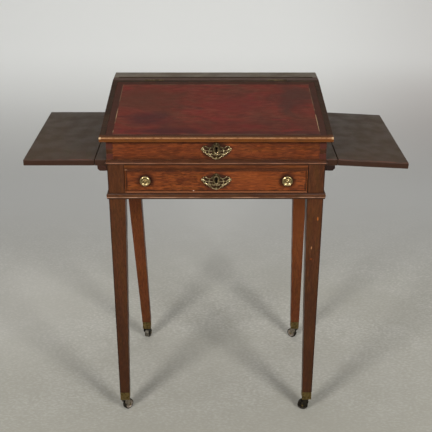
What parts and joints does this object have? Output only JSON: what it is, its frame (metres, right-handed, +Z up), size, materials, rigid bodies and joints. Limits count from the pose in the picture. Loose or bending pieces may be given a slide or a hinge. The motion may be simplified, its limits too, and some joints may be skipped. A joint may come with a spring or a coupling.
{
  "type": "writing bureau",
  "caption": "Mahogany writing desk: sloping hinged leather-lined lid over a box, drawer frame, drop leaves at the sides, square tapered legs on brass cup castors.",
  "frame": {"origin": "on the floor under the middle of the desk, with the leaves raised", "axes": "+X to the right seen from the front, +Y to the back, +Z up; the drawer and the lid's nose face -Y"},
  "size_m": [0.9011, 0.4014, 0.8308],
  "materials": {
    "mahogany": "polished red-brown mahogany with figure",
    "dark_mahogany": "dark polished mahogany, worn at the edges",
    "pale_wood": "plain unpolished lining wood",
    "leather": "worn red leather with gilt lines",
    "brass": "aged brass",
    "dark_brass": "dark tarnished brass",
    "iron": "plain iron"
  },
  "bodies": {
    "carcase": {"leg_front_left": "dark_mahogany", "leg_front_right": "dark_mahogany", "leg_back_left": "dark_mahogany", "leg_back_right": "dark_mahogany", "front_top_rail": "mahogany", "front_bottom_rail": "mahogany", "side_rail_left": "mahogany", "side_rail_right": "mahogany", "back_rail": "mahogany", "base_bead": "mahogany", "waist_moulding": "mahogany", "box_front": "mahogany", "box_back": "mahogany", "box_side_left": "mahogany", "box_side_right": "mahogany", "box_floor": "pale_wood", "pen_ledge": "dark_mahogany", "lid_hinge_fixed_left": "brass", "lid_hinge_fixed_right": "brass", "lid_lock_case": "brass", "leaf_strip_left": "dark_mahogany", "leaf_strip_right": "dark_mahogany", "leaf_bearer_left": "dark_mahogany", "leaf_bearer_right": "dark_mahogany", "escutcheon_upper": "brass", "drawer_runner_left": "pale_wood", "drawer_runner_right": "pale_wood", "castor_cup_front_left": "brass", "castor_cup_front_right": "brass", "castor_cup_back_left": "brass", "castor_cup_back_right": "brass"},
    "lid": {"lid_board": "dark_mahogany", "lid_leather": "leather", "lid_hinge_moving_left": "brass", "lid_hinge_moving_right": "brass", "lid_link_plate": "brass"},
    "lid_bolt": {"lid_lock_bolt": "iron"},
    "drawer": {"drawer_front": "mahogany", "drawer_cockbead": "mahogany", "drawer_side_left": "pale_wood", "drawer_side_right": "pale_wood", "drawer_back": "pale_wood", "drawer_bottom": "pale_wood", "knob_left": "brass", "knob_right": "brass", "escutcheon_lower": "brass", "drawer_lock_case": "brass"},
    "drawer_bolt": {"drawer_lock_bolt": "iron"},
    "left_leaf": {"leaf_left": "dark_mahogany"},
    "right_leaf": {"leaf_right": "dark_mahogany"},
    "left_prop": {"prop_left": "mahogany"},
    "right_prop": {"prop_right": "mahogany"},
    "swivel_front_left": {"castor_horn_front_left": "dark_brass"},
    "swivel_front_right": {"castor_horn_front_right": "dark_brass"},
    "swivel_back_left": {"castor_horn_back_left": "dark_brass"},
    "swivel_back_right": {"castor_horn_back_right": "dark_brass"},
    "wheel_front_left": {"castor_wheel_front_left": "dark_brass"},
    "wheel_front_right": {"castor_wheel_front_right": "dark_brass"},
    "wheel_back_left": {"castor_wheel_back_left": "dark_brass"},
    "wheel_back_right": {"castor_wheel_back_right": "dark_brass"}
  },
  "joints": [
    {"name": "lid_hinge", "type": "hinge", "parent": "carcase", "child": "lid", "pos_m": [0, 0.12, 0.829], "axis": [-1, 0, 0], "range_deg": [0, 100]},
    {"name": "lid_bolt_slide", "type": "slide", "parent": "carcase", "child": "lid_bolt", "axis": [1, 0, 0], "range_m": [-0.0075, 0]},
    {"name": "drawer_slide", "type": "slide", "parent": "carcase", "child": "drawer", "axis": [0, -1, 0], "range_m": [0, 0.25]},
    {"name": "drawer_bolt_slide", "type": "slide", "parent": "drawer", "child": "drawer_bolt", "axis": [0, 0, -1], "range_m": [-0.008, 0]},
    {"name": "left_leaf_hinge", "type": "hinge", "parent": "carcase", "child": "left_leaf", "pos_m": [-0.2838, 0.00615, 0.7065], "axis": [0, -1, 0], "range_deg": [0, 90]},
    {"name": "right_leaf_hinge", "type": "hinge", "parent": "carcase", "child": "right_leaf", "pos_m": [0.2838, 0.00615, 0.7065], "axis": [0, 1, 0], "range_deg": [0, 87]},
    {"name": "left_prop_pivot", "type": "hinge", "parent": "carcase", "child": "left_prop", "pos_m": [-0.2698, 0.00615, 0.6565], "axis": [0, -1, 0], "range_deg": [0, 120.95]},
    {"name": "right_prop_pivot", "type": "hinge", "parent": "carcase", "child": "right_prop", "pos_m": [0.2698, 0.00615, 0.6565], "axis": [0, 1, 0], "range_deg": [0, 118.47]},
    {"name": "front_left_swivel", "type": "hinge", "parent": "carcase", "child": "swivel_front_left", "pos_m": [-0.2424, -0.1706, 0], "axis": [0, 0, 1], "continuous": true},
    {"name": "front_right_swivel", "type": "hinge", "parent": "carcase", "child": "swivel_front_right", "pos_m": [0.2424, -0.1706, 0], "axis": [0, 0, 1], "continuous": true},
    {"name": "back_left_swivel", "type": "hinge", "parent": "carcase", "child": "swivel_back_left", "pos_m": [-0.2099, 0.1792, 0], "axis": [0, 0, 1], "continuous": true},
    {"name": "back_right_swivel", "type": "hinge", "parent": "carcase", "child": "swivel_back_right", "pos_m": [0.2424, 0.1792, 0], "axis": [0, 0, 1], "continuous": true},
    {"name": "front_left_wheel", "type": "hinge", "parent": "swivel_front_left", "child": "wheel_front_left", "pos_m": [-0.23725, -0.16488, 0.014], "axis": [0.7431, -0.6691, 0], "continuous": true},
    {"name": "front_right_wheel", "type": "hinge", "parent": "swivel_front_right", "child": "wheel_front_right", "pos_m": [0.23496, -0.16861, 0.014], "axis": [0.2588, 0.9659, 0], "continuous": true},
    {"name": "back_left_wheel", "type": "hinge", "parent": "swivel_back_left", "child": "wheel_back_left", "pos_m": [-0.20752, 0.18652, 0.014], "axis": [0.9511, -0.309, 0], "continuous": true},
    {"name": "back_right_wheel", "type": "hinge", "parent": "swivel_back_right", "child": "wheel_back_right", "pos_m": [0.23677, 0.18445, 0.014], "axis": [0.682, 0.7314, 0], "continuous": true}
  ],
  "couplings": [
    {"joint": "left_prop_pivot", "follows": "left_leaf_hinge", "ratio": 1.3438},
    {"joint": "right_prop_pivot", "follows": "right_leaf_hinge", "ratio": 1.3616}
  ]
}
